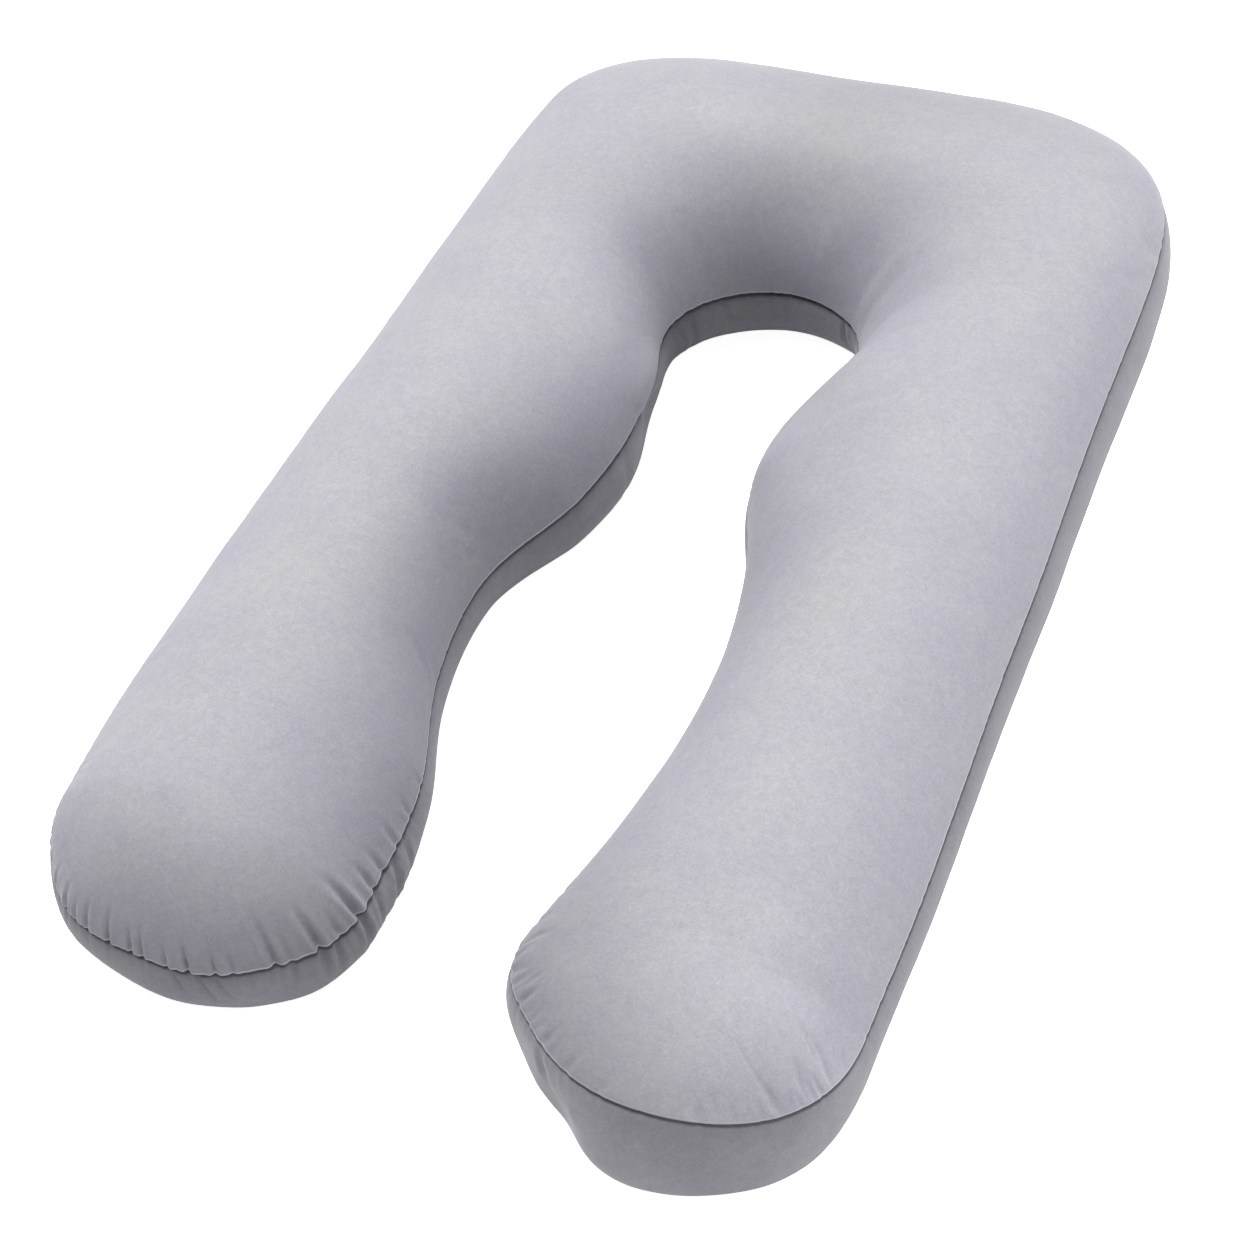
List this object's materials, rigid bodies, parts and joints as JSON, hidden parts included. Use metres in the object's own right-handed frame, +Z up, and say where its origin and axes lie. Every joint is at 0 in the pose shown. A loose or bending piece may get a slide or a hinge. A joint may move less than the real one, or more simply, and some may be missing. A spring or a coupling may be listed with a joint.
{
  "type": "pregnancy pillow",
  "caption": "U-shaped full-body pillow of soft velvet, two lobes joined by one seam round the outline, with a wavy gap between its legs.",
  "frame": {"origin": "on the floor, below the middle of the pillow's box", "axes": "+Y from the leg ends towards the closed head end, +X towards the pillow's right leg seen from the leg ends, +Z up through its thickness"},
  "size_m": [0.8336, 1.4756, 0.2081],
  "materials": {
    "velvet": "matt short-pile velvet with a soft sheen"
  },
  "bodies": {
    "root": {"pillow": "velvet"}
  },
  "joints": []
}
